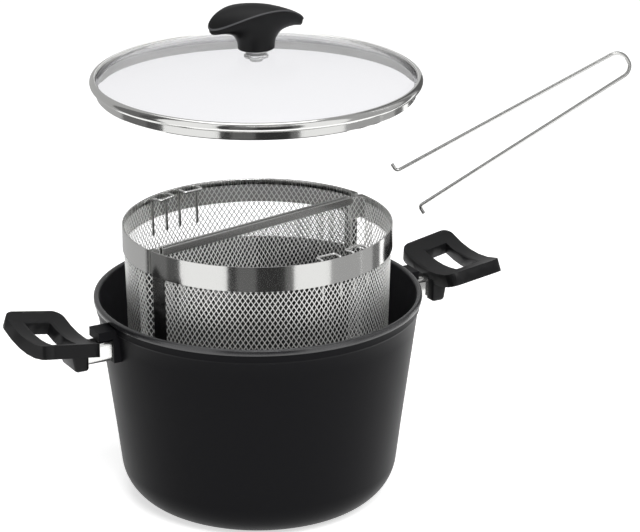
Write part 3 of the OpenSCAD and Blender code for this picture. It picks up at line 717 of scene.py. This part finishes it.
def in_place(back):
    return Matrix.Rotation(divider_turn + (math.pi if back else 0), 4, "Z")


def both_halves(piece, finish, part=None):
    """Puts the front piece and its copy for the back half; part names the CAD nodes that they stand for."""
    twin = copied(piece, "back_" + piece.name, in_place(True))
    piece.data.transform(in_place(False))
    piece.name = "front_" + piece.name
    put(piece, finish, "strainer_front", *(["front_" + part] if part else []))
    put(twin, finish, "strainer_back", *(["back_" + part] if part else []))
    return piece, twin


def line_inside(finish, *pieces, lean=0.4):
    """Gives the faces that don't look away from the axis, and the cut edges, their own finish."""
    for piece in pieces:
        piece.data.materials.append(finish)
        for face in piece.data.polygons:
            if face.normal.xy.dot(face.center.xy.normalized()) < lean:
                face.material_index = 1


def corner_middle(radius):
    return math.sqrt((radius - strainer_corner_r) ** 2 - (strainer_corner_r + divider_gap / 2) ** 2)


wall_reach = math.pi / 2 - math.atan2(strainer_corner_r + divider_gap / 2, corner_middle(strainer_r))
lip_h = 4.4


def half_moon(name, radius, height):
    """The outline of one half, as a face."""
    bpy.ops.object.select_all(action="DESELECT")
    bpy.ops.mesh.primitive_circle_add(vertices=240, radius=radius * MM, fill_type="NGON", location=(0, 0, height * MM))
    piece = named(name)
    apply_place()
    bpy.ops.object.mode_set(mode="EDIT")
    bpy.ops.mesh.select_all(action="SELECT")
    flat = -divider_gap / 2 * MM
    bpy.ops.mesh.bisect(plane_co=(0, flat, 0), plane_no=(0, 1, 0), clear_outer=True, use_fill=False)
    corner = math.sqrt(radius ** 2 - (divider_gap / 2) ** 2) - 0.5
    pick(piece, "vertices", lambda v: abs(v.co.x) > corner * MM and v.co.y > flat - 0.3 * MM)
    bpy.ops.mesh.bevel(affect="VERTICES", offset=strainer_corner_r * MM, segments=10)
    bpy.ops.object.mode_set(mode="OBJECT")
    return piece


def top_band():
    piece = half_moon("polished_band", strainer_r, strainer_top - band_h)
    straight = (corner_middle(strainer_r) - 1) * MM
    pick(piece, "polygons", lambda f: True)
    bpy.ops.mesh.delete(type="ONLY_FACE")
    pick(piece, "edges", lambda e: abs(middle(piece, e).x) < straight and middle(piece, e).y > -2 * MM)
    bpy.ops.mesh.delete(type="EDGE")
    bpy.ops.mesh.select_all(action="SELECT")
    bpy.ops.mesh.extrude_region_move(TRANSFORM_OT_translate={"value": (0, 0, band_h * MM)})
    bpy.ops.object.mode_set(mode="OBJECT")
    outward(piece)
    modify(piece, "SOLIDIFY", thickness=strip_t * MM, offset=-1)
    modify(piece, "BEVEL", width=0.15 * MM, segments=2, limit_method="ANGLE", angle_limit=math.radians(60))
    smooth(piece, 20)
    line_inside(back_steel, *both_halves(piece, polished, "top_band"))


def outward(piece):
    """Turns an open strip's faces away from the middle of the half."""
    clean(piece)
    centre = Vector((0, -strainer_r / 2, 0)) * MM
    lean = sum(f.normal.dot((f.center - centre) * Vector((1, 1, 0))) * f.area for f in piece.data.polygons)
    if lean < 0:
        piece.data.flip_normals()


def diamond_panel(name, width, height):
    """Sheet of diamond openings in the XZ plane, from x = -width / 2 and z = 0."""
    across = int(width / cell_w + height / cell_h) + 4
    side = 1 / math.sqrt(2)
    bpy.ops.object.select_all(action="DESELECT")
    bpy.ops.mesh.primitive_grid_add(x_subdivisions=across, y_subdivisions=across, size=across * side * MM)
    piece = named(name)
    turn = Matrix.Rotation(math.pi / 2, 4, "X") @ Matrix.Rotation(math.pi / 4, 4, "Z")
    piece.data.transform(Matrix.Diagonal((cell_w, 1, cell_h, 1)) @ turn)
    piece.data.transform(Matrix.Translation((0, 0, height / 2 * MM)))
    bpy.ops.object.mode_set(mode="EDIT")
    for place, normal in (((-width / 2, 0, 0), (-1, 0, 0)), ((width / 2, 0, 0), (1, 0, 0)),
                          ((0, 0, 0), (0, 0, -1)), ((0, 0, height), (0, 0, 1))):
        bpy.ops.mesh.select_all(action="SELECT")
        bpy.ops.mesh.bisect(plane_co=Vector(place) * MM, plane_no=normal, clear_outer=True)
    return piece


def open_cells(piece):
    """Cuts the opening out of every cell and gives the strands their thickness."""
    bpy.ops.object.mode_set(mode="EDIT")
    bpy.ops.mesh.select_mode(type="FACE")
    bpy.ops.mesh.select_all(action="SELECT")
    bpy.ops.mesh.inset(thickness=strand_w / 2 * MM, use_individual=True)
    bpy.ops.mesh.delete(type="FACE")
    bpy.ops.object.mode_set(mode="OBJECT")


def wall_mesh():
    radius = strainer_r - strip_t - fit
    height = strainer_h - 2.6
    piece = diamond_panel("curved_mesh", 2 * radius * wall_reach, height)
    open_cells(piece)

    def wrap(x, y, z):
        """Rolls the panel round the Z axis and leans it with the taper."""
        a = x / radius
        r = radius - (strainer_h - z) * math.tan(taper)
        return (r * math.sin(a), -r * math.cos(a), strainer_z + 0.8 + z)

    reshape(piece, wrap)
    outward(piece)
    modify(piece, "SOLIDIFY", thickness=strand_t * MM, offset=-1)
    # Painted light and shade: the inner faces get the lighter copy of the mesh steel, painted darker lower down
    line_inside(lining_steel, *both_halves(piece, mesh_steel, "wall_mesh"))


def divider_mesh():
    half = corner_middle(foot_r) - fit
    level = -divider_gap / 2 - strip_t - fit
    piece = diamond_panel("flat_mesh", 2 * half, strainer_h - 1.4)
    open_cells(piece)
    reshape(piece, lambda x, y, z: (x, level, strainer_z + 0.8 + z))
    clean(piece)
    if piece.data.polygons[0].normal.y < 0:
        piece.data.flip_normals()
    modify(piece, "SOLIDIFY", thickness=strand_t * MM, offset=-1)
    # Painted light and shade: the divider's face into its half gets the lighter copy, darker lower down; the faces
    # turned back get the dark copy
    line_inside(shaded_steel, *both_halves(piece, lining_steel, "divider_mesh"), lean=0)


def floor_mesh():
    radius = foot_r - strip_t - 2 * fit
    flat = -divider_gap / 2 - strip_t - 2 * fit
    piece = diamond_panel("floor_mesh", 2 * radius, radius)
    reshape(piece, lambda x, y, z: (x, z - radius + flat, strainer_z))

    def inside(face):
        return (face.center / MM).xy.length < radius - 0.8

    pick(piece, "polygons", lambda f: not inside(f))
    bpy.ops.mesh.delete(type="FACE")
    bpy.ops.object.mode_set(mode="OBJECT")

    def snap(x, y, z):
        """Draws the ragged edge onto the outline."""
        r = math.hypot(x, y)
        k = radius / r if r > radius - 1.2 else 1
        return (x * k, min(y * k, flat), z)

    reshape(piece, snap)
    open_cells(piece)
    clean(piece)
    if piece.data.polygons[0].normal.z < 0:
        piece.data.flip_normals()
    modify(piece, "SOLIDIFY", thickness=0.5 * MM, offset=1)
    # Painted shade: the floor mesh gets the dark copy of the mesh steel
    both_halves(piece, shaded_steel, "floor_mesh")


def divider_fold():
    """Strip folded over the top edge of the divider."""
    half = corner_middle(foot_r) - fit
    outer = -divider_gap / 2 - strip_t / 2
    inner = outer - strip_t - 2 * fit - weave_t
    bend = (outer - inner) / 2
    bottom = strainer_top - fold_h
    section = [(outer, bottom)]
    section += arc((outer - bend, strainer_top - strip_t / 2 - bend), bend, 0, 180, 8)
    section += [(inner, bottom)]
    piece = chain("folded_strip", [(-half, y, z) for y, z in section])
    bpy.ops.mesh.select_all(action="SELECT")
    bpy.ops.mesh.extrude_region_move(TRANSFORM_OT_translate={"value": (2 * half * MM, 0, 0)})
    bpy.ops.object.mode_set(mode="OBJECT")
    clean(piece)
    modify(piece, "SOLIDIFY", thickness=strip_t * 0.8 * MM, offset=0)
    modify(piece, "WEIGHTED_NORMAL", keep_sharp=True)
    both_halves(piece, fold_steel, "divider_fold")


def foot_strip():
    piece = half_moon("foot_ring", foot_r, strainer_z)
    straight = (corner_middle(foot_r) + 2) * MM
    low = -strainer_corner_r - divider_gap / 2 - corner_strip_w
    pick(piece, "polygons", lambda f: True)
    bpy.ops.mesh.delete(type="ONLY_FACE")
    pick(piece, "edges", lambda e: middle(piece, e).y > low * MM)
    bpy.ops.mesh.delete(type="EDGE")
    bpy.ops.mesh.select_all(action="SELECT")
    bpy.ops.mesh.extrude_region_move(TRANSFORM_OT_translate={"value": (0, 0, foot_strip_h * MM)})
    bpy.ops.object.mode_set(mode="OBJECT")
    outward(piece)
    modify(piece, "SOLIDIFY", thickness=strip_t * MM, offset=-1)
    smooth(piece, 40)
    both_halves(piece, strip_steel, "foot_strip")


def band_lip():
    """Upper edge of the band, folded inward over the mesh."""
    outer = strainer_r - strip_t - 0.1
    inner = outer - strand_t - 0.2
    top = strainer_top - 0.15
    section = [(outer, top - 0.6), (outer, top - 0.1), (outer - 0.2, top), (inner + 0.1, top - 0.1), (inner, top - 0.4),
               (inner, top - lip_h + 0.2), (inner + 0.1, top - lip_h)]
    piece = chain("band_lip", [(r, 0, z) for r, z in section])
    bpy.ops.mesh.select_all(action="SELECT")
    bpy.ops.mesh.spin(steps=120, angle=2 * wall_reach, center=(0, 0, 0), axis=(0, 0, 1))
    bpy.ops.object.mode_set(mode="OBJECT")
    clean(piece)
    centre = sum((v.co.xy for v in piece.data.vertices), Vector((0, 0)))
    piece.data.transform(Matrix.Rotation(-math.pi / 2 - math.atan2(centre.y, centre.x), 4, "Z"))
    modify(piece, "SOLIDIFY", thickness=0.2 * MM, offset=0)
    smooth(piece, 50)
    both_halves(piece, strip_steel)


def corner_strips():
    """Plain strip bent round each corner below the band."""
    height = strainer_h - band_h - fit
    lean = (corner_middle(strainer_r) - corner_middle(foot_r)) / strainer_h
    low = -strainer_corner_r - divider_gap / 2 - corner_strip_w
    piece = half_moon("near_corner", foot_r, strainer_z)
    pick(piece, "polygons", lambda f: True)
    bpy.ops.mesh.delete(type="ONLY_FACE")
    pick(piece, "vertices", lambda v: v.co.y < low * MM or v.co.x > 0)
    bpy.ops.mesh.delete(type="VERT")
    bpy.ops.mesh.select_all(action="SELECT")
    bpy.ops.mesh.extrude_region_move(TRANSFORM_OT_translate={"value": (-height * lean * MM, 0, height * MM)})
    bpy.ops.object.mode_set(mode="OBJECT")
    outward(piece)
    modify(piece, "SOLIDIFY", thickness=strip_t * MM, offset=-1)
    smooth(piece, 40)
    both_halves(piece, corner_steel, "corner_strip_near")


def corner_panel(name, low, high, inset, lap):
    """Mesh bent round the far corner, from the round side onto the divider."""
    x = corner_middle(foot_r)
    y = -strainer_corner_r - divider_gap / 2
    corner_r = strainer_corner_r - inset
    start = math.atan2(y, x)
    bend = corner_r * (math.pi / 2 - start)
    lean = (corner_middle(strainer_r) - x) / strainer_h
    width = corner_strip_w + bend + lap
    piece = diamond_panel(name, width, high - low)
    open_cells(piece)

    def wrap(s, flat, z):
        """Leads the panel along the round side, round the corner and onto the divider."""
        s += width / 2 - corner_strip_w
        z += low
        if s < 0:
            a = start + s / foot_r
            r = foot_r - inset
            place = (r * math.cos(a), r * math.sin(a))
        elif s < bend:
            a = start + s / corner_r
            place = (x + corner_r * math.cos(a), y + corner_r * math.sin(a))
        else:
            place = (x - s + bend, y + corner_r)
        return (place[0] + z * lean, place[1], strainer_z + z)

    reshape(piece, wrap)
    outward(piece)
    modify(piece, "SOLIDIFY", thickness=strand_t * MM, offset=-1)
    return piece


def far_corners():
    """The far corner of each half, where the mesh itself is bent round and lapped."""
    piece = corner_panel("far_corner", 0, strainer_h - band_h - 2 * fit, 0, 2)
    both_halves(piece, mesh_steel, "corner_strip_far")
    lining = corner_panel("far_corner_lining", strainer_h - band_h, strainer_h - 1.2, strip_t + 2 * fit, 6)
    both_halves(lining, mesh_steel)


def loops():
    """Bent wire that lies level inside the band, with two prongs down the mesh."""
    inside = strainer_r - strip_t - weave_t - 2 * fit
    radius = math.sqrt(inside ** 2 - ((loop_w + loop_wire_d) / 2) ** 2) - loop_wire_d / 2
    z = strainer_top - loop_wire_d / 2
    half = loop_w / 2
    low = radius - prong_len * math.tan(taper)
    points = [(low, -half, z - prong_len), (radius, -half, z), (radius - loop_reach, -half, z),
              (radius - loop_reach, half, z), (radius, half, z), (low, half, z - prong_len)]
    for name, angle in (("outer", loop_turn - loop_angle), ("inner", loop_turn + loop_angle)):
        piece = wire(name + "_wire_loop", points, loop_wire_d, 2.2)
        piece.data.transform(Matrix.Rotation(math.radians(angle - 90), 4, "Z"))
        both_halves(piece, wire_steel, "loop_" + name)


# Lifter

def wire_lifter():
    """Hairpin of wire whose tips turn outward."""
    tip = tip_w / 2
    bow = bow_w / 2
    points = [(lifter_len, tip + tip_len + bend_r, 0), (lifter_len, tip, 0), (0, bow, 0),
              (0, -bow, 0), (lifter_len, -tip, 0), (lifter_len, -tip - tip_len - bend_r, 0)]
    piece = wire("wire_lifter", points, lifter_wire_d, bend_r, bow_w / 2 - 1)
    flat = Matrix.Rotation(-lifter_slope, 4, "Y") @ Matrix.Rotation(math.pi, 4, "Z") @ Matrix.Rotation(math.pi / 2, 4, "X")
    place = Matrix.Translation(Vector((lifter_x, lifter_y, lifter_z)) * MM)
    piece.data.transform(Matrix.Rotation(lifter_turn, 4, "Z") @ place @ flat)
    put(piece, lifter_steel, "lifter", "lifter")


pot_shell()
loop_handles()
flame_guards()
lid_dome()
lid_ring()
knob()
top_band()
wall_mesh()
divider_mesh()
floor_mesh()
divider_fold()
band_lip()
foot_strip()
corner_strips()
far_corners()
loops()
wire_lifter()
finish_nodes(coating, "left_boss", "right_boss")
finish_nodes(screw_steel, "left_handle_screw", "right_handle_screw")
finish_nodes(satin_steel, "knob_screw", "knob_washer")
finish_nodes(strip_steel, "induction_disc")
finish_nodes(silicone, "seal_above", "seal_below")


# Studio

def white_floor():
    """Matt white paper that stays white to the camera, to metal and to glass."""
    bpy.ops.object.select_all(action="DESELECT")
    bpy.ops.mesh.primitive_plane_add(size=14)
    floor = named("studio_floor")
    material, shader, _ = surface("matt_white_paper", "#f4f4f4", 1.0, Specular_IOR_Level=0.0)
    rays = add_node(material, "ShaderNodeLightPath")
    first = add_node(material, "ShaderNodeMath", {"operation": "MAXIMUM"})
    material.node_tree.links.new(rays.outputs["Is Camera Ray"], first.inputs[0])
    material.node_tree.links.new(rays.outputs["Is Transmission Ray"], first.inputs[1])
    second = add_node(material, "ShaderNodeMath", {"operation": "MAXIMUM"})
    material.node_tree.links.new(first.outputs[0], second.inputs[0])
    material.node_tree.links.new(rays.outputs["Is Glossy Ray"], second.inputs[1])
    glow = add_node(material, "ShaderNodeMath", {"operation": "MULTIPLY"})
    material.node_tree.links.new(second.outputs[0], glow.inputs[0])
    glow.inputs[1].default_value = 0.65
    shader.inputs["Emission Color"].default_value = (1, 1, 1, 1)
    material.node_tree.links.new(glow.outputs[0], shader.inputs["Emission Strength"])
    floor.data.materials.append(material)


def white_world():
    world = bpy.data.worlds.new("studio")
    bpy.context.scene.world = world
    world.use_nodes = True
    tree = world.node_tree
    tree.nodes["Background"].inputs["Color"].default_value = (1, 1, 1, 1)
    rays = tree.nodes.new("ShaderNodeLightPath")
    seen = tree.nodes.new("ShaderNodeMath")
    seen.operation = "MAXIMUM"
    tree.links.new(rays.outputs["Is Camera Ray"], seen.inputs[0])
    tree.links.new(rays.outputs["Is Transmission Ray"], seen.inputs[1])
    mirrored = tree.nodes.new("ShaderNodeMapRange")
    mirrored.inputs["To Min"].default_value = 0.2
    mirrored.inputs["To Max"].default_value = 0.42
    tree.links.new(rays.outputs["Is Glossy Ray"], mirrored.inputs["Value"])
    level = tree.nodes.new("ShaderNodeMapRange")
    level.inputs["To Max"].default_value = 1.0
    tree.links.new(mirrored.outputs["Result"], level.inputs["To Min"])
    tree.links.new(seen.outputs[0], level.inputs["Value"])
    tree.links.new(level.outputs["Result"], tree.nodes["Background"].inputs["Strength"])


def grey_card(name, offset, half_width, level, height=0.9):
    """A standing card that only polished metal mirrors; offset is its angle from the camera's side."""
    distance = 0.46
    angle = camera_azimuth - math.pi / 2 + math.radians(offset)
    bpy.ops.object.select_all(action="DESELECT")
    bpy.ops.mesh.primitive_plane_add(size=1)
    card = named(name)
    card.scale = (2 * distance * math.tan(math.radians(half_width)), height, 1)
    apply_place()
    card.data.transform(Matrix.Rotation(math.pi / 2, 4, "X"))
    card.data.transform(Matrix.Translation((0, -distance, height / 2)))
    card.data.transform(Matrix.Rotation(angle + math.pi / 2, 4, "Z"))
    material, shader, _ = surface("grey_card_" + name, "#000000", 1.0, Specular_IOR_Level=0.0)
    shader.inputs["Emission Color"].default_value = (1, 1, 1, 1)
    shader.inputs["Emission Strength"].default_value = level
    material.cycles.emission_sampling = "NONE"
    card.data.materials.append(material)
    card.visible_camera = False
    card.visible_diffuse = False
    card.visible_transmission = False
    card.visible_shadow = False


def softbox(name, place, size, power):
    data = bpy.data.lights.new(name, "AREA")
    data.shape = "RECTANGLE"
    data.size, data.size_y = size
    data.energy = power
    lamp = bpy.data.objects.new(name, data)
    bpy.context.scene.collection.objects.link(lamp)
    lamp.location = place
    lamp.rotation_euler = (Vector((0, 0, 0.2)) - Vector(place)).to_track_quat("-Z", "Y").to_euler()


white_floor()
white_world()
grey_card("front_card", 11, 10.9, 0.04)
grey_card("front_card_edge", 25, 3.2, 0.17)
grey_card("front_stripe", -7.2, 7.3, 0.15)
grey_card("front_edge", -18.2, 3.7, 0.05)
grey_card("left_white", -41, 18.6, 1.1)
grey_card("right_white", 43.4, 14.8, 1.1)
grey_card("left_card", -66.8, 6.5, 0.1)
grey_card("left_stripe", -85.6, 12.3, 0.18)
grey_card("left_wing", -132, 34, 0.5)
grey_card("right_card", 74.2, 15.8, 0.45)
grey_card("right_stripe", 97.5, 7.5, 0.5)
grey_card("right_edge", 111, 6, 0.2)
grey_card("back_card", 138, 11.8, 0.13)
grey_card("back_edge", 158, 8, 0.6)
softbox("key_softbox", (-0.6, -1.8, 1.9), (1.2, 0.9), 44)
softbox("side_softbox", (1.9, -0.6, 1.2), (0.8, 1.2), 14)
softbox("top_softbox", (0.1, 0.5, 2.4), (1.6, 1.6), 12)

bpy.context.view_layer.update()
